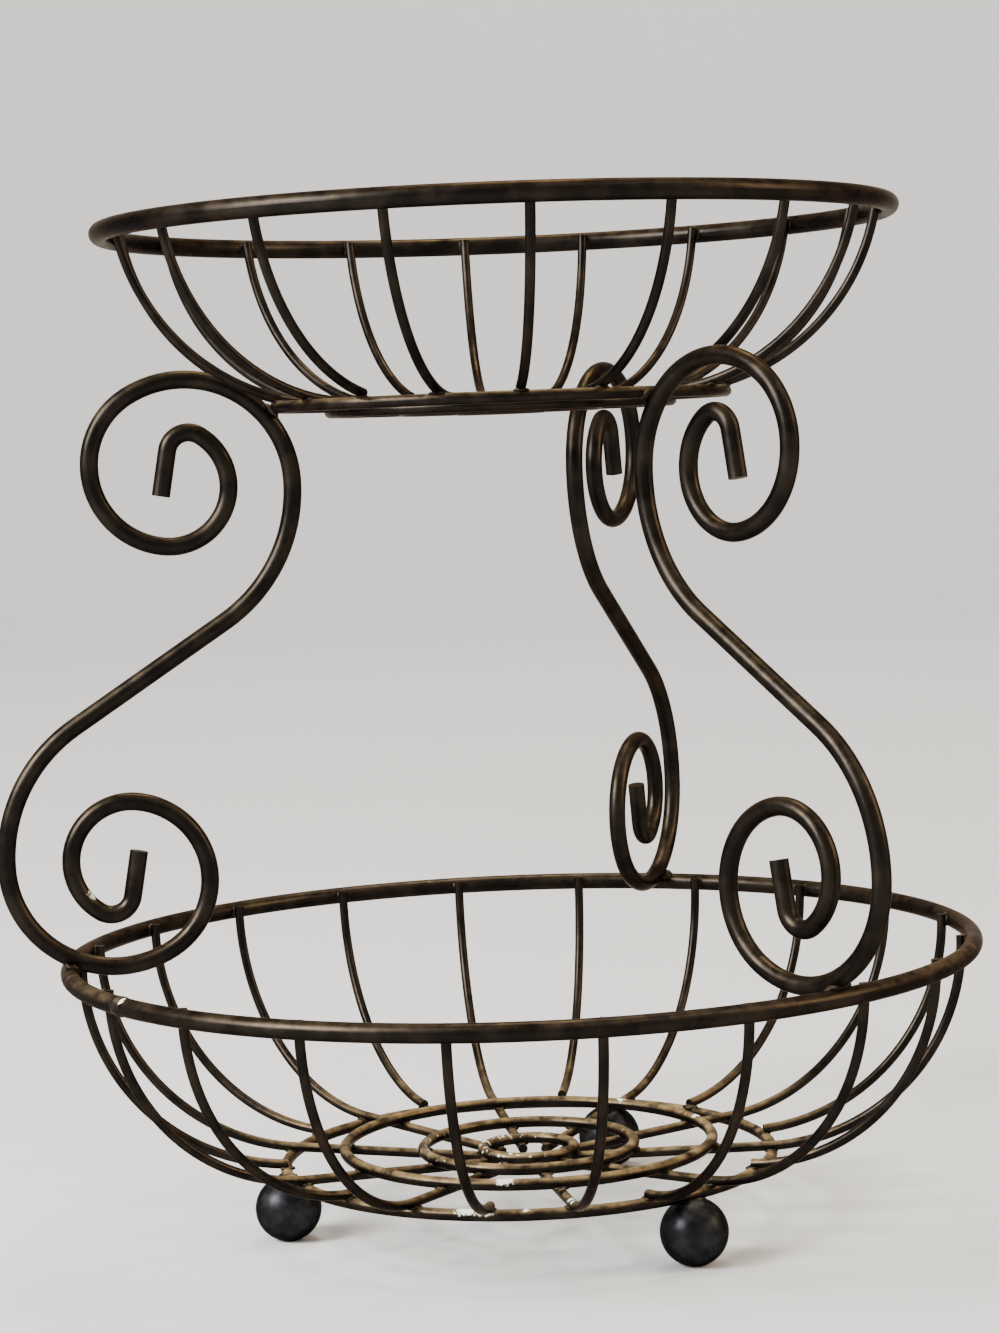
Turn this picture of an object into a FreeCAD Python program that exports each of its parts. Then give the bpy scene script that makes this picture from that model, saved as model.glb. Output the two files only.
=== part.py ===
import FreeCAD, Part
import math
import os
from FreeCAD import Vector

# Two-tier welded wire basket: two open wire bowls, joined by three S-scroll legs, standing on three balls.
# Millimetres and degrees. The origin is on the basket's axis, on the surface that it stands on, +Z up.
# Every wire is drawn in the radial half-plane, with X as the distance from the axis, then turned about Z.

# Wire stock, as diameters
lower_rim_wire = 6.0
upper_rim_wire = 6.5
leg_wire = 6.0
rib_wire = 3.2
ring_wire = 3.8

# How far two wires are pressed into each other where they are welded
rib_to_rim_bite = 0.4
rib_to_ring_bite = 0.6
leg_bite = 0.5
foot_bite = 1.0

# Lower bowl
lower_rim_radius = 150.0
lower_bowl_depth = 68.0
lower_wall_run = 68.8
lower_ring_outset = 4.6
lower_hub_radius = 15.2
lower_floor_slope = 3.0
lower_rib_pairs = 10
lower_rib_angle = 18.0

# Upper bowl, whose base ring sits on the legs and so sets its other radii
upper_bowl_depth = 57.5
upper_wall_run = 68.3
upper_ring_outset = 17.9
upper_hub_radius = 13.9
upper_floor_slope = 1.0
upper_rib_pairs = 9
upper_rib_angle = 6.0

# Ribs of both bowls: how far they reach above the rim's middle, past the hub ring and past the base ring
rib_tip_rise = 2.0
spoke_overhang = 3.0
short_rib_overhang = 0.4

# Floor rings of both bowls; a station is a share of the way from the hub ring out to the base ring
outer_floor_ring_station = 0.70
inner_floor_ring_station = 0.304

# Scroll legs: half of the straight stem, then the bends from the stem in to the cropped tail
leg_angles = {"left": 180.0, "front": 300.0, "back": 60.0}
stem_half_length = 30.0
stem_slope = 32.6
shoulder_radius = 52.0
shoulder_turn = 59.0
loop_radius = 35.0
loop_turn = 119.0
coil_radius = 26.5
coil_turn = 141.0
eye_radius = 19.5
eye_turn = 155.0
hook_radius = 7.0
hook_turn = 113.0
tail_length = 15.0
rim_seat_angle = 24.0
ring_seat_angle = 39.0

# Ball feet
foot_diameter = 22.0
foot_flat_diameter = 6.0

AXIS = Vector(0, 0, 1)
SECTION_NORMAL = Vector(0, 1, 0)
ON_SPOKES = 1
UNDER_SPOKES = -1


def in_section(radius, height):
    """A point of the radial half-plane."""
    return Vector(radius, 0, height)


def heading_vector(heading):
    """The unit vector of the half-plane that points along a heading, in degrees from outward towards up."""
    return in_section(math.cos(math.radians(heading)), math.sin(math.radians(heading)))


def turned(shape, angle):
    """A copy of a shape, turned about the basket's axis."""
    copy = shape.copy()
    copy.rotate(Vector(), AXIS, angle)
    return copy


def wire_ring(radius, height, diameter):
    """A closed ring of round wire about the basket's axis."""
    return Part.makeTorus(radius, diameter / 2, in_section(0, height), AXIS)


def swept_wire(edges, diameter):
    """Round wire along tangent lines and arcs."""
    path = Part.Wire(Part.sortEdges(edges)[0])
    first = path.OrderedEdges[0]
    start = path.OrderedVertexes[0].Point
    at_start = start.distanceToPoint(first.valueAt(first.FirstParameter)) < 1e-6
    tangent = first.tangentAt(first.FirstParameter if at_start else first.LastParameter)
    section = Part.Wire(Part.makeCircle(diameter / 2, start, tangent))
    return path.makePipeShell([section], True, False)


class Bowl:
    """One wire bowl: a rim, ribs that drop in one arc to a floor that is a shallow cone, and its rings."""

    def __init__(self, rim_wire, depth, wall_run, ring_outset, hub_radius, floor_slope, ring_side):
        """Takes the sizes that fix the shape of a rib; place then puts the bowl where it belongs."""
        self.rim_wire = rim_wire
        self.depth = depth
        self.wall_run = wall_run
        self.ring_outset = ring_outset
        self.hub_radius = hub_radius
        self.slope = math.radians(floor_slope)
        self.ring_side = ring_side
        self.rim_gap = (rim_wire + rib_wire) / 2 - rib_to_rim_bite
        self.ring_gap = (ring_wire + rib_wire) / 2 - rib_to_ring_bite
        self.bend = (wall_run ** 2 + depth ** 2) / (2 * depth)

    def place(self, bend_centre_radius, base_height):
        """Places the bowl by the radius of its ribs' bend centres and the height of its base ring."""
        self.rim_radius = bend_centre_radius + self.wall_run + self.rim_gap
        self.base_radius = bend_centre_radius + self.ring_outset
        self.base_height = base_height
        centre_height = base_height + self.drop(self.ring_outset, self.bend + self.ring_gap)
        self.bend_centre = in_section(bend_centre_radius, centre_height)
        self.rim_height = centre_height - self.bend + self.depth
        span = self.base_radius - self.hub_radius
        self.outer_radius = self.hub_radius + span * outer_floor_ring_station
        self.inner_radius = self.hub_radius + span * inner_floor_ring_station

    def drop(self, outset, reach):
        """How far below the bend centre a line lies that follows the ribs at some reach from that centre."""
        cone_start = reach * math.sin(self.slope)
        if outset > cone_start:
            return math.sqrt(reach ** 2 - outset ** 2)
        return reach * math.cos(self.slope) + (cone_start - outset) * math.tan(self.slope)

    def beside_ribs(self, radius, side_gap):
        """The point at a radius that lies a gap above a rib's centre line, or below it if negative."""
        outset = radius - self.bend_centre.x
        return in_section(radius, self.bend_centre.z - self.drop(outset, self.bend - side_gap))

    def rim(self):
        """The rim ring."""
        return wire_ring(self.rim_radius, self.rim_height, self.rim_wire)

    def base_ring(self):
        """The base ring, under the ribs."""
        return wire_ring(self.base_radius, self.base_height, ring_wire)

    def floor_rings(self):
        """The rings on one side of the spokes, from the outer one to the hub ring."""
        radii = (self.outer_radius, self.inner_radius, self.hub_radius)
        side_gap = self.ring_side * self.ring_gap
        return [wire_ring(radius, self.beside_ribs(radius, side_gap).z, ring_wire) for radius in radii]

    def rib(self, inner_radius, rings):
        """A rib from just above the rim's middle to an inner radius, coped to the rings it is welded to."""
        rise = self.rim_height + rib_tip_rise - self.bend_centre.z
        tip = self.bend_centre + in_section(math.sqrt(self.bend ** 2 - rise ** 2), rise)
        cone_radius = self.bend_centre.x + self.bend * math.sin(self.slope)
        arc_end = self.beside_ribs(max(inner_radius, cone_radius), 0)
        outward = ((tip + arc_end) * 0.5 - self.bend_centre).normalize()
        edges = [Part.Arc(tip, self.bend_centre + outward * self.bend, arc_end).toShape()]
        if inner_radius < cone_radius:
            edges.append(Part.LineSegment(arc_end, self.beside_ribs(inner_radius, 0)).toShape())
        return swept_wire(edges, rib_wire).cut([self.rim(), *rings])

    def long_rib(self):
        """A rib that runs on across the floor to the hub ring."""
        return self.rib(self.hub_radius - spoke_overhang, [self.base_ring(), *self.floor_rings()])

    def short_rib(self):
        """A rib that ends just inside the base ring."""
        return self.rib(self.base_radius - short_rib_overhang, [self.base_ring()])

    def nodes(self, tier, pairs, first_angle, legs):
        """The bowl's named pieces, with its ribs coped to the legs that pass over them."""
        outer, inner, hub = self.floor_rings()
        yield f"{tier}_rim", self.rim()
        yield f"{tier}_base_ring", self.base_ring()
        yield f"{tier}_floor_ring_outer", outer
        yield f"{tier}_floor_ring_inner", inner
        yield f"{tier}_hub_ring", hub
        long_rib, short_rib = self.long_rib(), self.short_rib()
        pair_step = 360 / pairs
        for k in range(pairs):
            angle = first_angle + k * pair_step
            yield f"{tier}_long_rib_{k + 1:02d}", turned(long_rib, angle).cut(legs)
            yield f"{tier}_short_rib_{k + 1:02d}", turned(short_rib, angle + pair_step / 2).cut(legs)


class ScrollLeg:
    """An S-scroll of one wire, the same at both ends, drawn about the middle of its stem."""

    def __init__(self):
        """Bends the wire's upper half, from the stem in to the tail, and keeps the centre of its loop."""
        self.heading = 180 - stem_slope
        self.point = heading_vector(self.heading) * stem_half_length
        self.stem = Part.LineSegment(self.point * -1, self.point).toShape()
        self.half = []
        self.bend(shoulder_radius, shoulder_turn)
        self.loop_centre = self.bend(loop_radius, loop_turn)
        self.bend(coil_radius, coil_turn)
        self.bend(eye_radius, eye_turn)
        self.bend(hook_radius, hook_turn)
        tail_tip = self.point + heading_vector(self.heading) * tail_length
        self.half.append(Part.LineSegment(self.point, tail_tip).toShape())

    def bend(self, radius, turn):
        """Bends the wire on from where it has got to, clockwise, and gives the centre of the bend."""
        centre = self.point + heading_vector(self.heading - 90) * radius
        middle = centre + heading_vector(self.heading + 90 - turn / 2) * radius
        end = centre + heading_vector(self.heading + 90 - turn) * radius
        self.half.append(Part.Arc(self.point, middle, end).toShape())
        self.point = end
        self.heading -= turn
        return centre

    def stand_on(self, rim_radius, rim_height):
        """Sets the lower loop on the inner shoulder of a rim."""
        reach = loop_radius + (leg_wire + lower_rim_wire) / 2 - leg_bite
        towards_loop = heading_vector(90 + rim_seat_angle)
        self.middle = in_section(rim_radius, rim_height) + towards_loop * reach + self.loop_centre

    def ring_seat(self):
        """The centre of the wire of a base ring that rests on the inner shoulder of the upper loop."""
        reach = loop_radius + (leg_wire + ring_wire) / 2 - leg_bite
        return self.middle + self.loop_centre + heading_vector(180 - ring_seat_angle) * reach

    def solid(self, seats):
        """The leg, coped to the rings that it is welded to."""
        lower_half = [edge.rotated(Vector(), SECTION_NORMAL, 180) for edge in self.half]
        leg = swept_wire([*lower_half, self.stem, *self.half], leg_wire)
        return leg.translated(self.middle).cut(seats)


class BallFoot:
    """A ball with a small turned flat to stand on and a groove that a base ring is welded into."""

    radius = foot_diameter / 2
    centre_height = math.sqrt(radius ** 2 - (foot_flat_diameter / 2) ** 2)
    ring_height = centre_height + radius + ring_wire / 2 - foot_bite

    def solid(self, ring_radius, ring):
        """The ball under a base ring."""
        ball = Part.makeSphere(self.radius, in_section(ring_radius, self.centre_height))
        corner = Vector(ring_radius - self.radius, -self.radius, -foot_diameter)
        below_floor = Part.makeBox(foot_diameter, foot_diameter, foot_diameter, corner)
        return ball.cut([below_floor, ring])


def basket_nodes():
    """The basket's named pieces, placed from the feet up."""
    foot = BallFoot()
    lower = Bowl(
        lower_rim_wire, lower_bowl_depth, lower_wall_run, lower_ring_outset, lower_hub_radius,
        lower_floor_slope, ON_SPOKES)
    lower.place(lower_rim_radius - lower.rim_gap - lower_wall_run, foot.ring_height)
    leg = ScrollLeg()
    leg.stand_on(lower.rim_radius, lower.rim_height)
    seat = leg.ring_seat()
    upper = Bowl(
        upper_rim_wire, upper_bowl_depth, upper_wall_run, upper_ring_outset, upper_hub_radius,
        upper_floor_slope, UNDER_SPOKES)
    upper.place(seat.x - upper_ring_outset, seat.z)

    leg_solid = leg.solid([lower.rim(), upper.base_ring()])
    foot_solid = foot.solid(lower.base_radius, lower.base_ring())
    legs = {side: turned(leg_solid, angle) for side, angle in leg_angles.items()}
    yield from lower.nodes("lower", lower_rib_pairs, lower_rib_angle, list(legs.values()))
    yield from upper.nodes("upper", upper_rib_pairs, upper_rib_angle, list(legs.values()))
    for side, angle in leg_angles.items():
        yield f"scroll_leg_{side}", legs[side]
        yield f"ball_foot_{side}", turned(foot_solid, angle)


os.makedirs("parts", exist_ok=True)
for name, shape in basket_nodes():
    shape.exportStep(f"parts/{name}.step")
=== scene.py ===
import logging
import math
from dataclasses import dataclass, replace
from enum import Enum
from functools import reduce
from typing import Any, Mapping, Sequence, Union

import bmesh
import bpy
import numpy as np
from mathutils import Matrix, Vector


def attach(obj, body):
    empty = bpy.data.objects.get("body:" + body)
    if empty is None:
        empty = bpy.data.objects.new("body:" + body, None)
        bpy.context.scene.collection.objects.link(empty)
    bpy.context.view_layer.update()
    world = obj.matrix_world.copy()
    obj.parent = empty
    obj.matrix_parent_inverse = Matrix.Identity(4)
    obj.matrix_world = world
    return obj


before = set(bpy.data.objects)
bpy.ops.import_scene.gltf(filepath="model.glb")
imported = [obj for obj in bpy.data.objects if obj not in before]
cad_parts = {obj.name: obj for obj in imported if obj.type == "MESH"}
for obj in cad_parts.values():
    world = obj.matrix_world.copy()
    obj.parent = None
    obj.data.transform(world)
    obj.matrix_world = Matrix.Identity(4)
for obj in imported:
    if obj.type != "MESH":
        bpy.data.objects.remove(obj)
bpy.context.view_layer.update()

# Looks of a two-tier welded wire basket with a dark bronze coat.
# Sizes are in millimetres in the part's own frame, and MM brings them to Blender's metres.
# Only the soft boxes and the merging distance are in metres.
MM = 0.001
MERGE_DISTANCE = 1e-7
NOISE_MIDDLE = 0.5
BODY = "root"
log = logging.getLogger("wire_basket")

# Tilts of beads, in degrees from the level direction away from the axis
UPWARDS = 90.0
INWARDS = 180.0

Colour = tuple[float, float, float]
Band = tuple[float, float]


class Slot(Enum):
    """The part's material slots."""

    RIM = "rim_wire"
    RIB = "rib_wire"
    FLOOR = "floor_wire"
    LEG = "leg_wire"
    BALL = "ball_foot"


class RingSide(Enum):
    """The side of the spokes that a bowl's floor rings are welded to."""

    ABOVE = 1
    BELOW = -1


class Third(Enum):
    """The three places round the basket that have a leg and a foot, by their azimuths in degrees."""

    LEFT = 180.0
    FRONT = 300.0
    BACK = 60.0

    @classmethod
    def azimuths(cls) -> np.ndarray:
        """The three azimuths."""
        return np.array([third.value for third in cls])

    @classmethod
    def nodes(cls, kind: str) -> list[str]:
        """The names of the three nodes of one kind."""
        return [f"{kind}_{third.name.lower()}" for third in cls]


@dataclass(frozen=True)
class Cloud:
    """A cloudy pattern: its cells per metre, its finer layers and their strength.

    The band from low to high is what a drawn-out cloud spreads over 0 to 1.
    """

    cells: float
    detail: float = 3.0
    rough: float = 0.55
    low: float = 0.0
    high: float = 1.0


class Value:
    """A socket of a shader that takes part in Python arithmetic."""

    def __init__(self, sheet: "ShaderSheet", socket: bpy.types.NodeSocket) -> None:
        """Wraps an output socket of a sheet's node."""
        self.sheet = sheet
        self.socket = socket

    def math(self, operation: str, first: Any, second: Any) -> "Value":
        """Adds a Math node.

        Args:
            operation: the Math node's operation.
            first: a value or a number.
            second: a value or a number.

        Returns:
            The node's result.
        """
        return self.sheet.node("ShaderNodeMath", {"operation": operation}, {0: first, 1: second})

    def __add__(self, other: Any) -> "Value":
        """self + other."""
        return self.math("ADD", self, other)

    def __radd__(self, other: Any) -> "Value":
        """other + self."""
        return self.math("ADD", other, self)

    def __sub__(self, other: Any) -> "Value":
        """self - other."""
        return self.math("SUBTRACT", self, other)

    def __rsub__(self, other: Any) -> "Value":
        """other - self."""
        return self.math("SUBTRACT", other, self)

    def __mul__(self, other: Any) -> "Value":
        """self * other."""
        return self.math("MULTIPLY", self, other)

    def __rmul__(self, other: Any) -> "Value":
        """other * self."""
        return self.math("MULTIPLY", other, self)

    def or_more(self, other: Any) -> "Value":
        """The larger of this value and another."""
        return self.math("MAXIMUM", self, other)

    def step(self, low: float, high: float) -> "Value":
        """A smooth step of this value.

        Args:
            low: where the step leaves 0.
            high: where the step reaches 1.

        Returns:
            The step, from 0 to 1.
        """
        ramp = {"Value": self, "From Min": low, "From Max": high}
        return self.sheet.node("ShaderNodeMapRange", {"interpolation_type": "SMOOTHSTEP"}, ramp)


class ShaderSheet:
    """The node tree of one material, around the principled shader that it starts with."""

    def __init__(self, name: str) -> None:
        """Starts a material.

        Args:
            name: the material's name.
        """
        self.material = bpy.data.materials.new(name)
        self.material.use_nodes = True
        self.tree = self.material.node_tree

    def fill(self, node: bpy.types.Node, inputs: Mapping[Union[int, str], Any]) -> None:
        """Sets or links a node's input sockets.

        Args:
            node: the node.
            inputs: a value to link or a plain setting for each socket.
        """
        for key, given in inputs.items():
            if isinstance(given, Value):
                self.tree.links.new(given.socket, node.inputs[key])
            else:
                node.inputs[key].default_value = given

    def node(
        self,
        kind: str,
        settings: Mapping[str, Any],
        inputs: Mapping[Union[int, str], Any],
        output: Union[int, str] = 0,
    ) -> Value:
        """Adds a node of any kind.

        Args:
            kind: the node's type.
            settings: the node's own properties, set before its sockets.
            inputs: the values or links of its input sockets.
            output: the output socket to hand back.

        Returns:
            The chosen output.
        """
        made = self.tree.nodes.new(kind)
        for key, setting in settings.items():
            setattr(made, key, setting)
        self.fill(made, inputs)
        return Value(self, made.outputs[output])

    def place(self) -> Value:
        """The point of the surface, in the part's frame."""
        return self.node("ShaderNodeTexCoord", {}, {}, "Object")

    def upward(self) -> Value:
        """How far the surface faces up: 1 on top, -1 underneath."""
        normal = self.node("ShaderNodeTexCoord", {}, {}, "Normal")
        return self.node("ShaderNodeSeparateXYZ", {}, {0: normal}, "Z")

    def below(self, height: float, fade: float) -> Value:
        """A mask of what lies low.

        Args:
            height: the height that it is full up to, in millimetres.
            fade: how far above that it fades out, in millimetres.

        Returns:
            The mask, from 0 to 1.
        """
        level = self.node("ShaderNodeSeparateXYZ", {}, {0: self.place()}, "Z")
        return 1.0 - level.step(height * MM, (height + fade) * MM)

    def noise(self, cloud: Cloud) -> Value:
        """Cloudy noise about 0.5.

        Args:
            cloud: how fine and how rough the noise is.

        Returns:
            The noise, without the cloud's band.
        """
        inputs = {
            "Vector": self.place(), "Scale": cloud.cells, "Detail": cloud.detail, "Roughness": cloud.rough,
        }
        return self.node("ShaderNodeTexNoise", {"noise_dimensions": "3D"}, inputs, 0)

    def drawn_out(self, cloud: Cloud) -> Value:
        """A cloud's noise with its band spread over 0 to 1."""
        return self.noise(cloud).step(cloud.low, cloud.high)

    def around(self, spot: "Spot") -> Value:
        """A spot with a ragged edge.

        Args:
            spot: the spot's place, size and edge.

        Returns:
            1 about the spot's middle and 0 outside it.
        """
        inputs = {0: self.place(), 1: tuple(spot.point() * MM)}
        away = self.node("ShaderNodeVectorMath", {"operation": "DISTANCE"}, inputs, "Value")
        ragged = away + (self.noise(spot.edging) - NOISE_MIDDLE) * (spot.ragged * spot.size * MM)
        share = 1.0 - ragged.step(spot.size * MM * (1.0 - spot.soft), spot.size * MM)
        if spot.broken > 0.0:
            share = share * self.noise(spot.flecking).step(spot.broken, spot.broken + spot.fleck_edge)
        return share

    def spots(self, spots: Sequence["Spot"]) -> Value:
        """All of one or more spots together."""
        return reduce(Value.or_more, map(self.around, spots))

    def blend(self, share: Any, first: Any, second: Any) -> Value:
        """Mixes two colours.

        Args:
            share: how much of the second colour shows.
            first: a colour, plain or from a node.
            second: a colour, plain or from a node.

        Returns:
            The mixed colour.
        """
        inputs = {0: share, 6: self.rgba(first), 7: self.rgba(second)}
        return self.node("ShaderNodeMix", {"data_type": "RGBA"}, inputs, 2)

    @staticmethod
    def rgba(colour: Any) -> Any:
        """A plain colour with its alpha, or a node's colour as it is."""
        return colour if isinstance(colour, Value) else (*colour, 1.0)

    def bump(self, height: Value, depth_mm: float, strength: float) -> Value:
        """A bumped normal.

        Args:
            height: the relief, from 0 to 1.
            depth_mm: the height that 1 stands for.
            strength: how much of it shows.

        Returns:
            The normal.
        """
        inputs = {"Strength": strength, "Distance": depth_mm * MM, "Height": height}
        return self.node("ShaderNodeBump", {}, inputs)

    def surface(self, inputs: Mapping[str, Any]) -> bpy.types.Material:
        """Sets or links the principled shader's sockets.

        Args:
            inputs: a value to link or a plain setting for each socket.

        Returns:
            The finished material.
        """
        self.fill(self.tree.nodes["Principled BSDF"], inputs)
        return self.material


def polar(radius: Any, azimuth: Any, height: Any) -> np.ndarray:
    """Points at a distance from the basket's axis.

    Args:
        radius: distances from the axis, in millimetres.
        azimuth: angles about the axis, in degrees from +X towards +Y.
        height: heights over the floor, in millimetres.

    Returns:
        The points, in millimetres, with X, Y and Z last.
    """
    angle = np.radians(azimuth)
    parts = (radius * np.cos(angle), radius * np.sin(angle), height + 0.0 * angle)
    return np.stack(np.broadcast_arrays(*parts), axis=-1)


@dataclass(frozen=True)
class Spot:
    """A spot on a wire, by its place about the basket's axis and its size, in millimetres and degrees.

    Its edge is ragged by a share of its size and soft over another, and it can be broken up into flecks.
    """

    radius: float
    azimuth: float
    height: float
    size: float
    ragged: float = 3.0
    soft: float = 0.25
    broken: float = 0.0
    edging: Cloud = Cloud(1000.0, 4.0, 0.7)
    flecking: Cloud = Cloud(620.0, 2.0)
    fleck_edge: float = 0.03

    def point(self) -> np.ndarray:
        """The spot's middle, in millimetres."""
        return polar(self.radius, self.azimuth, self.height)


@dataclass(frozen=True)
class WireCoat:
    """A dark bronze coat on wire: mottled, lighter brown on top as abrasion and as a painted highlight,
    dusty, and chipped at a few spots.

    A facing is the band of upward facing over which a layer comes in. A name that ends in rough is what a
    layer adds to the roughness.
    """

    name: str
    deep: Colour = (0.0088, 0.0074, 0.0064)
    warm: Colour = (0.0200, 0.0155, 0.0120)
    # Brown that lightens the wire's upward-facing side: partly abrasion, partly a painted highlight.
    rubbed_and_highlight: Colour = (0.104, 0.073, 0.048)
    dust: Colour = (0.36, 0.240, 0.110)
    bare: Colour = (0.80, 0.76, 0.67)
    edge: Colour = (0.41, 0.345, 0.275)
    metal: float = 0.9
    specular: float = 0.2
    rub_and_highlight: float = 0.24
    dusty: float = 0.10
    gloss: float = 0.27

    # Patterns of the layers
    mottling: Cloud = Cloud(85.0, 5.0, low=0.38, high=0.68)
    graining: Cloud = Cloud(900.0, 2.0)
    rubbing_and_highlight: Cloud = Cloud(240.0, 4.0, 0.65, low=0.36, high=0.72)
    dusting: Cloud = Cloud(150.0, 5.0, 0.66, low=0.28, high=0.72)
    flaking: Cloud = Cloud(800.0, 4.0, 0.7)
    rubbed_and_lit_facing: Band = (-0.1, 0.95)
    dusty_facing: Band = (0.10, 0.90)
    flaked_facing: Band = (0.1, 0.5)
    flake_reach: float = 2.0

    # Roughness and relief of the layers
    mottle_rough: float = 0.10
    grain_rough: float = 0.08
    dust_rough: float = 0.40
    chip_rough: float = 0.25
    dull_rough: float = 0.25
    grain_depth: float = 0.05
    dust_relief: float = 0.6
    relief: float = 0.5

    # Dust that lies below a height, and spots that are chipped or dull
    dust_line: float = 0.0
    line_fade: float = 12.0
    line_dust: float = 0.60
    chips: tuple[Spot, ...] = ()
    dull: tuple[Spot, ...] = ()
    dull_rub_and_highlight: float = 0.40
    dull_dust: float = 0.08

    def material(self) -> bpy.types.Material:
        """Lays the coat's layers over each other.

        Returns:
            The coat as a material.
        """
        sheet = ShaderSheet(self.name)
        mottle = sheet.drawn_out(self.mottling)
        grain = sheet.noise(self.graining)
        up = sheet.upward()
        wear_and_highlight, dustiness = self.rub_and_highlight, self.dusty
        rough = self.gloss + self.mottle_rough * mottle + self.grain_rough * grain
        if self.dull:
            dull = sheet.spots(self.dull)
            wear_and_highlight, dustiness = wear_and_highlight + self.dull_rub_and_highlight * dull, dustiness + self.dull_dust * dull
            rough = rough + self.dull_rough * dull
        if self.dust_line > 0.0:
            dustiness = dustiness + self.line_dust * sheet.below(self.dust_line, self.line_fade)
        # Lightens the upward-facing side of the wire to brown: partly abrasion, partly a painted highlight
        # where the light falls on top.
        worn_and_lit = up.step(*self.rubbed_and_lit_facing) * sheet.drawn_out(self.rubbing_and_highlight) * wear_and_highlight
        settled = up.step(*self.dusty_facing) * sheet.drawn_out(self.dusting) * dustiness
        colour = sheet.blend(mottle, self.deep, self.warm)
        colour = sheet.blend(worn_and_lit, colour, self.rubbed_and_highlight)
        colour = sheet.blend(settled, colour, self.dust)
        rough = rough + self.dust_rough * settled
        metal = self.metal * (1.0 - settled)
        if self.chips:
            lifted = up + self.flake_reach * (sheet.noise(self.flaking) - NOISE_MIDDLE)
            chipped = sheet.spots(self.chips) * lifted.step(*self.flaked_facing)
            colour = sheet.blend(chipped, colour, self.bare)
            rough = rough + self.chip_rough * chipped
            metal = metal * (1.0 - chipped)
        normal = sheet.bump(grain + self.dust_relief * settled, self.grain_depth, self.relief)
        fixed = {"Specular IOR Level": self.specular, "Specular Tint": sheet.rgba(self.edge)}
        varied = {"Base Color": colour, "Roughness": rough, "Metallic": metal, "Normal": normal}
        return sheet.surface({**fixed, **varied})


@dataclass(frozen=True)
class BallCoat:
    """The smoother and more neutral black coat of the ball feet."""

    name: str = "ball_coat"
    deep: Colour = (0.0135, 0.0135, 0.0145)
    sheen: Colour = (0.0265, 0.0260, 0.0270)
    dust: Colour = (0.22, 0.18, 0.125)
    edge: Colour = (0.20, 0.20, 0.21)
    metal: float = 0.9
    specular: float = 0.2
    dusty: float = 0.16
    gloss: float = 0.34
    mottling: Cloud = Cloud(220.0, 4.0, low=0.38, high=0.68)
    graining: Cloud = Cloud(1300.0, 2.0)
    dusting: Cloud = Cloud(520.0, 4.0, 0.7, low=0.40, high=0.66)
    dusty_facing: Band = (0.55, 0.98)
    mottle_rough: float = 0.08
    grain_rough: float = 0.06
    dust_rough: float = 0.15
    grain_depth: float = 0.035
    relief: float = 0.5

    def material(self) -> bpy.types.Material:
        """Lays the coat's mottle and dust over each other; the dust on top also paints a pale highlight.

        Returns:
            The coat as a material.
        """
        sheet = ShaderSheet(self.name)
        mottle = sheet.drawn_out(self.mottling)
        grain = sheet.noise(self.graining)
        # Dust on the balls' tops: partly real dust, partly a painted pale highlight pool.
        settled = sheet.upward().step(*self.dusty_facing) * sheet.drawn_out(self.dusting)
        colour = sheet.blend(mottle, self.deep, self.sheen)
        colour = sheet.blend(self.dusty * settled, colour, self.dust)
        rough = self.gloss + self.mottle_rough * mottle + self.grain_rough * grain + self.dust_rough * settled
        normal = sheet.bump(grain, self.grain_depth, self.relief)
        fixed = {
            "Metallic": self.metal,
            "Specular IOR Level": self.specular,
            "Specular Tint": sheet.rgba(self.edge),
        }
        return sheet.surface({**fixed, "Base Color": colour, "Roughness": rough, "Normal": normal})


@dataclass(frozen=True)
class WeldCoat:
    """Coated weld metal: lumpy, with random brown mottling and dust on what faces up."""

    name: str = "weld_coat"
    deep: Colour = (0.0088, 0.0073, 0.0062)
    brown: Colour = (0.034, 0.0245, 0.0168)
    dust: Colour = (0.30, 0.215, 0.120)
    edge: Colour = (0.36, 0.28, 0.20)
    metal: float = 0.8
    specular: float = 0.2
    dusty: float = 0.28
    gloss: float = 0.36
    mottling: Cloud = Cloud(300.0, 4.0, low=0.40, high=0.66)
    graining: Cloud = Cloud(1500.0, 3.0, 0.65)
    dusting: Cloud = Cloud(480.0, 3.0, low=0.42, high=0.62)
    dusty_facing: Band = (0.1, 0.9)
    grain_rough: float = 0.18
    dust_rough: float = 0.20
    grain_depth: float = 0.18
    relief: float = 0.7

    def material(self) -> bpy.types.Material:
        """Lays the weld's brown and dust over each other.

        Returns:
            The weld's coat as a material.
        """
        sheet = ShaderSheet(self.name)
        mottle = sheet.drawn_out(self.mottling)
        grain = sheet.noise(self.graining)
        settled = sheet.upward().step(*self.dusty_facing) * sheet.drawn_out(self.dusting)
        colour = sheet.blend(mottle, self.deep, self.brown)
        colour = sheet.blend(self.dusty * settled, colour, self.dust)
        rough = self.gloss + self.grain_rough * grain + self.dust_rough * settled
        normal = sheet.bump(grain, self.grain_depth, self.relief)
        fixed = {
            "Metallic": self.metal,
            "Specular IOR Level": self.specular,
            "Specular Tint": sheet.rgba(self.edge),
        }
        return sheet.surface({**fixed, "Base Color": colour, "Roughness": rough, "Normal": normal})


@dataclass(frozen=True)
class CovePaint:
    """The plain pale paint of the studio's floor and cove."""

    name: str = "pale_cove"
    colour: Colour = (0.62, 0.607, 0.58)
    shade: float = 0.97
    gloss: float = 0.80
    cloud_rough: float = 0.08
    specular: float = 0.1
    clouding: Cloud = Cloud(2.2, 2.0)

    def material(self) -> bpy.types.Material:
        """Clouds the paint a little.

        Returns:
            The paint as a material.
        """
        sheet = ShaderSheet(self.name)
        cloud = sheet.noise(self.clouding)
        shaded = tuple(self.shade * part for part in self.colour)
        colour = sheet.blend(cloud, shaded, self.colour)
        rough = self.gloss + self.cloud_rough * cloud
        return sheet.surface({"Base Color": colour, "Roughness": rough, "Specular IOR Level": self.specular})


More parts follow.
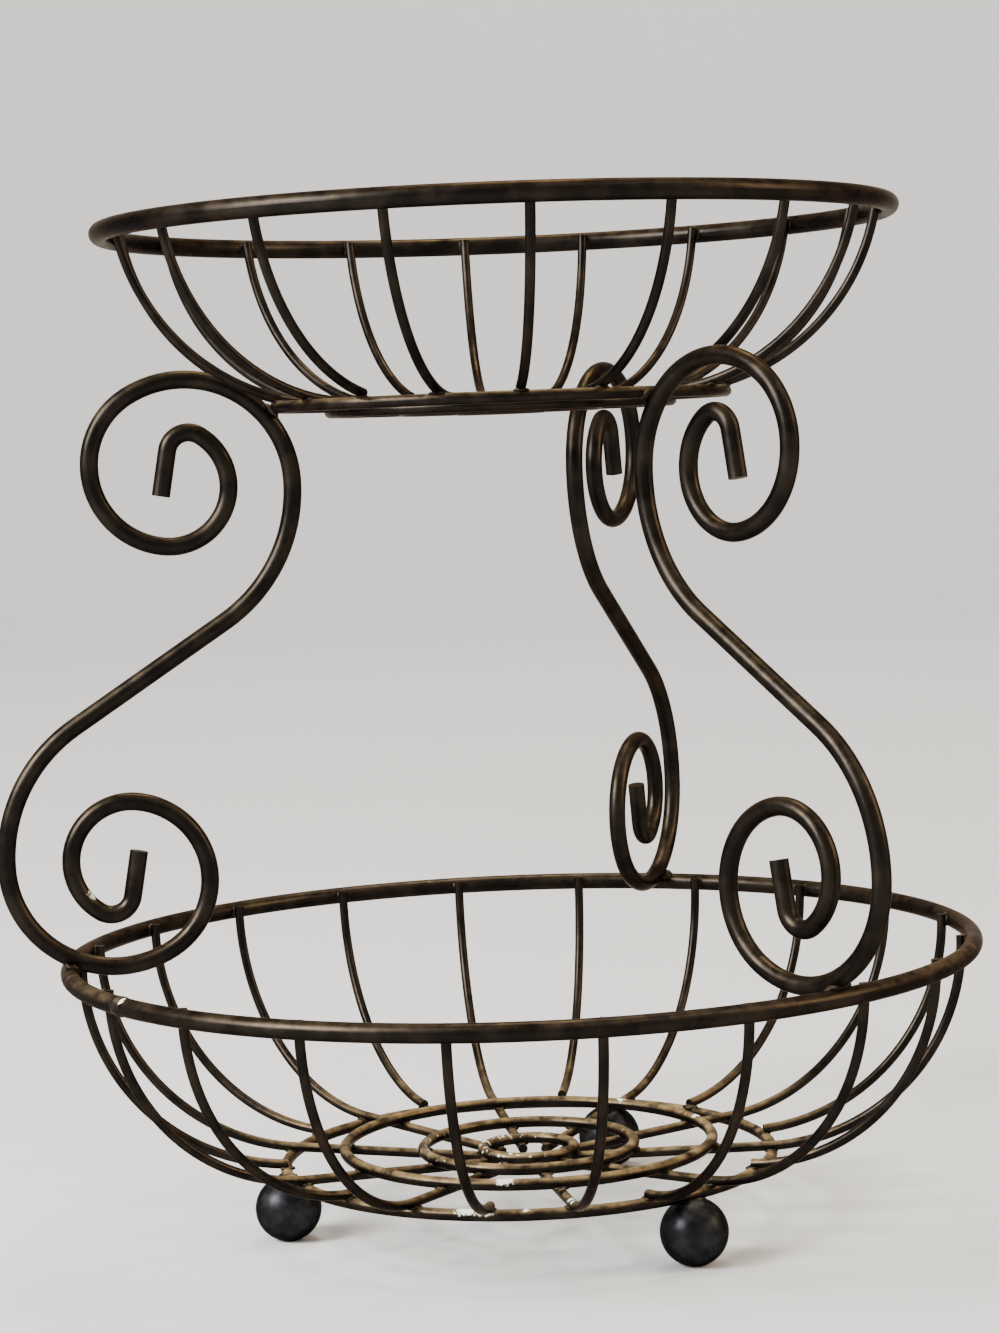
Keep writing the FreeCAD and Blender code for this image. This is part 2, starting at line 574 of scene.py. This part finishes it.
def skin(name: str, points: np.ndarray) -> bpy.types.Object:
    """Skins a stack of point grids with quads and links the piece into the scene.

    Grid corner (i, j) is joined to its neighbours in the next row and the next column, and columns close on
    themselves. Rows that shrink to a point are merged into it.

    Args:
        name: the piece's name.
        points: grids of points in millimetres, shaped (grids, rows, columns, 3).

    Returns:
        The new object.
    """
    grids, rows, columns = points.shape[:3]
    index = np.arange(grids * rows * columns).reshape(grids, rows, columns)
    here, below = index[:, :-1], index[:, 1:]
    faces = np.stack([here, np.roll(here, -1, 2), np.roll(below, -1, 2), below], axis=-1)
    mesh = bpy.data.meshes.new(name)
    mesh.from_pydata((points * MM).reshape(-1, 3), [], faces.reshape(-1, 4))
    merge_and_face_outwards(mesh)
    mesh.polygons.foreach_set("use_smooth", np.ones(len(mesh.polygons), dtype=bool))
    piece = bpy.data.objects.new(name, mesh)
    bpy.context.scene.collection.objects.link(piece)
    return piece


def merge_and_face_outwards(mesh: bpy.types.Mesh) -> None:
    """Merges the points of each pole and turns the faces outwards.

    Args:
        mesh: the mesh to mend in place.
    """
    work = bmesh.new()
    work.from_mesh(mesh)
    bmesh.ops.remove_doubles(work, verts=work.verts, dist=MERGE_DISTANCE)
    bmesh.ops.recalc_face_normals(work, faces=work.faces)
    work.to_mesh(mesh)
    work.free()
    mesh.update()


@dataclass(frozen=True)
class Bead:
    """The half-axes of one kind of weld bead, in millimetres, how lumpy it is and how much beads differ."""

    along: float
    across: float
    proud: float
    lump: float = 0.14
    spread: float = 0.15
    rows: int = 8
    columns: int = 10

    def grids(self, centres: np.ndarray, frames: np.ndarray, seed: int) -> np.ndarray:
        """Beads as point grids.

        A bead is a sphere grid, p(u, v) = (sin u cos v, sin u sin v, cos u), swollen by a low wave
        1 + lump * sin(2u + a) * sin(3v + b) with its own phases a and b, stretched by the half-axes and
        turned into its frame.

        Args:
            centres: the beads' centres, shaped (beads, 3).
            frames: for each bead the unit vectors along, across and proud, shaped (beads, 3, 3).
            seed: the seed of the random phases and sizes.

        Returns:
            The grids, shaped (beads, rows, columns, 3).
        """
        draw = np.random.default_rng(seed)
        count = len(centres)
        u = np.linspace(0.0, math.pi, self.rows)[None, :, None]
        v = np.linspace(0.0, math.tau, self.columns, endpoint=False)[None, None, :]
        phase = draw.uniform(0.0, math.tau, (2, count, 1, 1))
        swell = 1.0 + self.lump * np.sin(2.0 * u + phase[0]) * np.sin(3.0 * v + phase[1])
        sphere = np.broadcast_arrays(np.sin(u) * np.cos(v), np.sin(u) * np.sin(v), np.cos(u) + 0.0 * v)
        ball = np.stack(sphere, axis=-1) * swell[..., None]
        half_axes = np.array([self.along, self.across, self.proud])
        size = half_axes * draw.uniform(1.0 - self.spread, 1.0 + self.spread, (count, 1, 1, 3))
        return centres[:, None, None, :] + np.einsum("nijk,nkl->nijl", ball * size, frames)


def bead_frames(azimuth: np.ndarray, tilt: float) -> np.ndarray:
    """Frames of beads that sit on a ring about the basket's axis.

    Args:
        azimuth: the beads' azimuths, in degrees.
        tilt: how far the beads' outward direction rises from level, in degrees, in their radial planes.

    Returns:
        For each bead the vectors along the ring, across it and out of it, shaped (beads, 3, 3).
    """
    along = polar(1.0, azimuth + 90.0, 0.0)
    proud = polar(math.cos(math.radians(tilt)), azimuth, math.sin(math.radians(tilt)))
    return np.stack([along, np.cross(proud, along), proud], axis=1)


def dress(names: Sequence[str], material: bpy.types.Material) -> None:
    """Puts a material on CAD nodes.

    Args:
        names: the nodes' names.
        material: what they wear.
    """
    for name in names:
        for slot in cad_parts[name].material_slots:
            slot.material = material
        log.info("%s wears %s", name, material.name)


def adopt(piece: bpy.types.Object, material: bpy.types.Material) -> None:
    """Gives a new piece its finish and the body that it rides on.

    Args:
        piece: the new piece.
        material: its finish.
    """
    piece.data.materials.append(material)
    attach(piece, BODY)
    log.info("%s has %d faces", piece.name, len(piece.data.polygons))


@dataclass
class WireBowl:
    """One wire bowl of the basket, with the welds that hold its ribs to its rings."""

    tier: str
    rim_radius: float
    rim_height: float
    rim_wire: float
    bend_radius: float
    bend_centre: tuple[float, float]
    floor_slope: float
    base_radius: float
    floor_radii: tuple[float, float, float]
    floor_side: RingSide
    pairs: int
    first_azimuth: float
    rim_coat: WireCoat
    rib_coat: WireCoat
    floor_coat: WireCoat
    weld_coat: bpy.types.Material
    ring_wire: float = 3.8
    ring_gap: float = 2.9
    weld_depth: float = 0.3
    rim_bead: Bead = Bead(2.3, 2.4, 0.9)
    floor_bead: Bead = Bead(2.6, 2.5, 0.9)
    rim_seed: int = 3
    floor_seed: int = 7

    def azimuths(self, count: int) -> np.ndarray:
        """The azimuths of so many evenly spread ribs, from the first long one on."""
        return self.first_azimuth + np.arange(count) * 360.0 / count

    def crossing(self, radius: float, side: RingSide) -> tuple[float, float, float]:
        """Where a ring touches a rib.

        The ring's middle lies at a reach of bend minus or plus the gap from the ribs' bend centre on the
        arc, or on the cone that leaves that arc at the floor's slope. The weld is on the line from there to
        the rib.

        Args:
            radius: the ring's radius.
            side: the side of the ribs that it is on.

        Returns:
            The radius and height of the touching point, and the tilt of the line through it, in degrees.
        """
        reach = self.bend_radius - side.value * self.ring_gap
        outset = radius - self.bend_centre[0]
        slope = math.radians(self.floor_slope)
        turn = max(math.asin(outset / reach), slope)
        inward = reach * math.sin(turn) - outset
        height = self.bend_centre[1] - reach * math.cos(turn) - inward * math.tan(slope)
        to_rib = side.value * (self.ring_wire / 2 - self.weld_depth)
        return radius + to_rib * math.sin(turn), height - to_rib * math.cos(turn), math.degrees(turn) - 90.0

    def rim_welds(self) -> np.ndarray:
        """Beads between the ribs' upper ends and the rim.

        Returns:
            The beads as point grids.
        """
        azimuth = self.azimuths(2 * self.pairs)
        centres = polar(self.rim_radius - self.rim_wire / 2 + self.weld_depth, azimuth, self.rim_height)
        return self.rim_bead.grids(centres, bead_frames(azimuth, INWARDS), self.rim_seed)

    def floor_welds(self) -> np.ndarray:
        """Beads where the ribs cross the base ring and where the long ribs cross the floor rings.

        Returns:
            The beads as point grids.
        """
        rings = [(self.base_radius, RingSide.BELOW, 2 * self.pairs)]
        rings += [(radius, self.floor_side, self.pairs) for radius in self.floor_radii]
        beads = []
        for seed, (ring_radius, side, count) in enumerate(rings, self.floor_seed):
            azimuth = self.azimuths(count)
            radius, height, tilt = self.crossing(ring_radius, side)
            centres = polar(radius, azimuth, height)
            beads.append(self.floor_bead.grids(centres, bead_frames(azimuth, tilt), seed))
        return np.concatenate(beads)

    def build(self) -> None:
        """Dresses the bowl's wires and adds its welds."""
        nodes = sorted(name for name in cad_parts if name.startswith(f"{self.tier}_"))
        ribs = [name for name in nodes if "_rib_" in name]
        rims = [name for name in nodes if name.endswith("_rim")]
        dress(rims, self.rim_coat.material())
        dress(ribs, self.rib_coat.material())
        dress([name for name in nodes if name not in ribs + rims], self.floor_coat.material())
        adopt(skin(f"{self.tier}_rim_welds", self.rim_welds()), self.weld_coat)
        adopt(skin(f"{self.tier}_floor_welds", self.floor_welds()), self.weld_coat)


@dataclass
class RimSeam:
    """The butt weld that closes a bowl's rim: a low collar around its wire."""

    bowl: WireBowl
    azimuth: float = 205.5
    half_width: float = 2.4
    swell: float = 0.32
    lobe: float = 0.25
    sink: float = 0.03
    rows: int = 13
    columns: int = 28

    def build(self) -> None:
        """Adds the collar.

        Its section is the rim's own circle, grown by swell * (1 - t^2) * (1 + lobe * sin 3a), where t runs
        from -1 to 1 across the collar and a goes round the wire, and shrunk a little to sink in at its ends.
        """
        bowl = self.bowl
        t = np.linspace(-1.0, 1.0, self.rows)[:, None]
        a = np.linspace(0.0, math.tau, self.columns, endpoint=False)[None, :]
        grown = self.swell * (1.0 - t ** 2) * (1.0 + self.lobe * np.sin(3.0 * a))
        wire = bowl.rim_wire / 2 - self.sink + grown
        azimuth = self.azimuth + np.degrees(t * self.half_width / bowl.rim_radius)
        radius = bowl.rim_radius + wire * np.cos(a)
        collar = polar(radius, azimuth + 0.0 * a, bowl.rim_height + wire * np.sin(a))
        ends = polar(bowl.rim_radius, azimuth[[0, -1]] + 0.0 * a, bowl.rim_height)
        closed = np.concatenate([ends[:1], collar, ends[1:]])
        adopt(skin(f"{bowl.tier}_rim_seam", closed[None]), bowl.weld_coat)


@dataclass
class ScrollLegs:
    """The three scroll legs and the welds at both of their seats.

    A seat is given by its radius and height, and by the tilt of the line through it.
    """

    coat: WireCoat
    weld_coat: bpy.types.Material
    rim_seat: tuple[float, float] = (148.8, 95.9)
    rim_seat_tilt: float = 114.0
    ring_seat: tuple[float, float] = (75.8, 274.8)
    ring_seat_tilt: float = -39.0
    rim_bead: Bead = Bead(5.2, 3.6, 1.4, 0.2)
    ring_bead: Bead = Bead(4.4, 3.3, 1.2, 0.2)
    seed: int = 11

    def build(self) -> None:
        """Dresses the legs and adds their welds."""
        dress(Third.nodes("scroll_leg"), self.coat.material())
        azimuth = Third.azimuths()
        seats = [
            (self.rim_seat, self.rim_seat_tilt, self.rim_bead),
            (self.ring_seat, self.ring_seat_tilt, self.ring_bead),
        ]
        beads = []
        for seed, ((radius, height), tilt, bead) in enumerate(seats, self.seed):
            beads.append(bead.grids(polar(radius, azimuth, height), bead_frames(azimuth, tilt), seed))
        adopt(skin("leg_seat_welds", np.concatenate(beads)), self.weld_coat)


@dataclass
class BallFeet:
    """The three ball feet and the welds that hold them to the base ring."""

    coat: BallCoat
    weld_coat: bpy.types.Material
    ring_radius: float = 81.6
    top_height: float = 20.9
    bead: Bead = Bead(5.2, 3.3, 1.0)
    seed: int = 17

    def build(self) -> None:
        """Dresses the balls and adds their welds."""
        dress(Third.nodes("ball_foot"), self.coat.material())
        azimuth = Third.azimuths()
        centres = polar(self.ring_radius, azimuth, self.top_height)
        grids = self.bead.grids(centres, bead_frames(azimuth, UPWARDS), self.seed)
        adopt(skin("foot_welds", grids), self.weld_coat)


@dataclass(frozen=True)
class SoftBox:
    """One soft studio light, with its place, aim and size in metres."""

    name: str
    place: tuple[float, float, float]
    aim: tuple[float, float, float]
    size: tuple[float, float]
    watts: float
    tint: Colour = (1.0, 1.0, 1.0)

    def build(self) -> None:
        """Hangs the light."""
        lamp = bpy.data.lights.new(self.name, "AREA")
        lamp.shape = "RECTANGLE"
        lamp.size, lamp.size_y = self.size
        lamp.energy = self.watts
        lamp.color = self.tint
        made = bpy.data.objects.new(self.name, lamp)
        made.location = self.place
        made.rotation_euler = (Vector(self.aim) - Vector(self.place)).to_track_quat("-Z", "Y").to_euler()
        bpy.context.scene.collection.objects.link(made)


@dataclass
class Studio:
    """The floor with its cove, the light and the camera."""

    # Floor and cove
    floor_radius: float = 3200.0
    cove_radius: float = 1800.0
    wall_height: float = 3600.0
    level_steps: int = 24
    turn_steps: int = 15
    columns: int = 96

    # Light: cool from the left, warm from the right, and boxes that look outwards at the wall
    surround: Colour = (1.0, 0.985, 0.96)
    surround_strength: float = 0.40
    boxes: tuple[SoftBox, ...] = (
        SoftBox("key_box", (-1.65, -0.6, 1.2), (0.0, 0.0, 0.15), (0.9, 0.9), 130.0, (0.92, 0.96, 1.0)),
        SoftBox("side_box", (1.5, -0.5, 0.9), (0.0, 0.0, 0.15), (0.25, 0.9), 20.0, (1.0, 0.76, 0.50)),
        SoftBox("top_box", (0.2, 0.6, 1.8), (0.0, 0.0, 0.15), (0.5, 0.5), 18.0, (1.0, 0.94, 0.85)),
    )
    wall_azimuths: tuple[float, ...] = (81.0, 201.0, 321.0)
    wall_box_radius: float = 1800.0
    wall_box_height: float = 2800.0
    wall_aim_radius: float = 4600.0
    wall_aim_height: float = 400.0
    wall_box_size: tuple[float, float] = (2.4, 0.8)
    wall_watts: float = 130.0

    # Camera: its place about the basket's axis, then its turns in degrees
    focal_pixels: float = 3141.0
    frame_height: float = 1333.0
    sensor: float = 36.0
    near_clip: float = 50.0
    distance: float = 1042.0
    height: float = 264.9
    azimuth: float = -9.0
    pitch: float = 4.25
    yaw: float = 0.20
    roll: float = -2.2

    def build_cove(self) -> None:
        """Lays the floor and turns it up into a round wall.

        The section runs level, r from 0 to R with the points closer together near the middle, then round a
        quarter circle (R + c sin a, c - c cos a), then straight up; it is turned about the basket's axis.
        """
        level = self.floor_radius * (np.arange(self.level_steps + 1) / self.level_steps) ** 2
        turn = np.linspace(0.0, math.pi / 2, self.turn_steps + 1)[1:]
        radius = np.concatenate([level, self.floor_radius + self.cove_radius * np.sin(turn)])
        height = np.concatenate([0.0 * level, self.cove_radius * (1.0 - np.cos(turn))])
        radius, height = np.append(radius, radius[-1]), np.append(height, self.wall_height)
        azimuth = np.linspace(0.0, 360.0, self.columns, endpoint=False)
        cove = skin("studio_cove", polar(radius[:, None], azimuth[None, :], height[:, None])[None])
        cove.data.materials.append(CovePaint().material())

    def wall_boxes(self) -> list[SoftBox]:
        """Soft boxes over the floor that look outwards and light the wall all round.

        Returns:
            The boxes.
        """
        azimuth = np.array(self.wall_azimuths)
        places = polar(self.wall_box_radius, azimuth, self.wall_box_height) * MM
        aims = polar(self.wall_aim_radius, azimuth, self.wall_aim_height) * MM
        return [
            SoftBox(f"wall_box_{number}", tuple(place), tuple(aim), self.wall_box_size, self.wall_watts)
            for number, (place, aim) in enumerate(zip(places, aims), 1)
        ]

    def build_light(self) -> None:
        """Hangs the soft boxes and sets the pale sky over the cove."""
        for box in [*self.boxes, *self.wall_boxes()]:
            box.build()
        world = bpy.data.worlds.new("pale_surround")
        world.use_nodes = True
        background = world.node_tree.nodes["Background"]
        background.inputs["Color"].default_value = (*self.surround, 1.0)
        background.inputs["Strength"].default_value = self.surround_strength
        bpy.context.scene.world = world

    def build_camera(self) -> None:
        """Stands the camera where the photograph was taken from, looking level, then down, and rolled."""
        lens = bpy.data.cameras.new("photo_camera")
        lens.sensor_fit = "VERTICAL"
        lens.sensor_height = self.sensor
        lens.lens = self.focal_pixels / self.frame_height * self.sensor
        lens.clip_start = self.near_clip * MM
        camera = bpy.data.objects.new("photo_camera", lens)
        place = Vector((0.0, -self.distance * MM, self.height * MM))
        turn = Matrix.Rotation(math.radians(self.azimuth), 4, "Z")
        aim = Matrix.Rotation(math.radians(self.yaw), 4, "Z")
        aim = aim @ Matrix.Rotation(math.radians(90.0 - self.pitch), 4, "X")
        aim = aim @ Matrix.Rotation(math.radians(self.roll), 4, "Z")
        camera.matrix_world = turn @ Matrix.Translation(place) @ aim
        bpy.context.scene.collection.objects.link(camera)
        bpy.context.scene.camera = camera

    def build(self) -> None:
        """Sets the studio up."""
        self.build_cove()
        self.build_light()
        self.build_camera()


def lower_bowl(rim: WireCoat, rib: WireCoat, floor: WireCoat, weld: bpy.types.Material) -> WireBowl:
    """The wide lower bowl, which is dusty on its floor and chipped and dull at a few spots.

    Args:
        rim: the plain coat of a rim.
        rib: the plain coat of ribs.
        floor: the plain coat of floor rings.
        weld: the welds' finish.

    Returns:
        The bowl.
    """
    worn_rim = replace(
        rim,
        name="lower_rim_coat",
        chips=(Spot(151.5, 206.6, 95.4, 1.6), Spot(152.8, 206.4, 92.6, 1.3)),
        dull=(
            Spot(150.0, 194.0, 93.0, 34.0, ragged=0.3, soft=0.5),
            Spot(150.0, 323.0, 95.0, 48.0, ragged=0.3, soft=0.6),
        ),
    )
    worn_rib = replace(
        rib,
        name="lower_rib_coat",
        dust_line=24.0,
        chips=(Spot(82.5, 269.6, 26.8, 1.6), Spot(88.0, 269.3, 27.2, 1.2)),
    )
    worn_floor = replace(
        floor,
        name="lower_floor_coat",
        dusty=0.70,
        rub_and_highlight=0.6,
        dust=(0.37, 0.250, 0.108),
        chips=(
            Spot(82.2, 246.6, 24.2, 3.4), Spot(82.2, 250.6, 24.3, 3.2), Spot(62.0, 253.5, 28.9, 3.0),
            Spot(82.6, 259.9, 24.4, 1.0), Spot(62.0, 11.0, 28.9, 1.8), Spot(62.0, 48.5, 28.9, 1.8),
            Spot(15.2, 180.0, 26.0, 22.0, broken=0.60),
        ),
    )
    return WireBowl(
        tier="lower", rim_radius=150.0, rim_height=93.235, rim_wire=6.0,
        bend_radius=68.804, bend_centre=(77.0, 94.04), floor_slope=3.0,
        base_radius=81.6, floor_radii=(61.68, 35.39, 15.2), floor_side=RingSide.ABOVE,
        pairs=10, first_azimuth=18.0,
        rim_coat=worn_rim, rib_coat=worn_rib, floor_coat=worn_floor, weld_coat=weld)


def upper_bowl(rim: WireCoat, rib: WireCoat, floor: WireCoat, weld: bpy.types.Material) -> WireBowl:
    """The smaller upper bowl, in the plain coats.

    Args:
        rim: the plain coat of a rim.
        rib: the plain coat of ribs.
        floor: the plain coat of floor rings.
        weld: the welds' finish.

    Returns:
        The bowl.
    """
    return WireBowl(
        tier="upper", rim_radius=129.28, rim_height=334.05, rim_wire=6.5,
        bend_radius=69.314, bend_centre=(56.53, 345.87), floor_slope=1.0,
        base_radius=74.43, floor_radii=(56.27, 32.3, 13.9), floor_side=RingSide.BELOW,
        pairs=9, first_azimuth=6.0,
        rim_coat=rim, rib_coat=rib, floor_coat=floor, weld_coat=weld)


def main() -> None:
    """Builds and dresses the basket, then the studio."""
    logging.basicConfig(level=logging.INFO, format="%(name)s: %(message)s")
    weld = WeldCoat().material()
    rim = WireCoat("upper_rim_coat")
    rib = WireCoat("upper_rib_coat", rub_and_highlight=0.22, dusty=0.05)
    floor = WireCoat("upper_floor_coat", dusty=0.35, rub_and_highlight=0.5)
    leg = WireCoat("leg_coat", chips=(Spot(141.5, 180.8, 119.4, 1.6),))
    lower = lower_bowl(rim, rib, floor, weld)
    upper = upper_bowl(rim, rib, floor, weld)
    legs = ScrollLegs(leg, weld)
    feet = BallFeet(BallCoat(), weld, ring_radius=lower.base_radius)
    for assembly in (lower, upper, RimSeam(lower), legs, feet, Studio()):
        assembly.build()


if __name__ == "__main__":
    main()
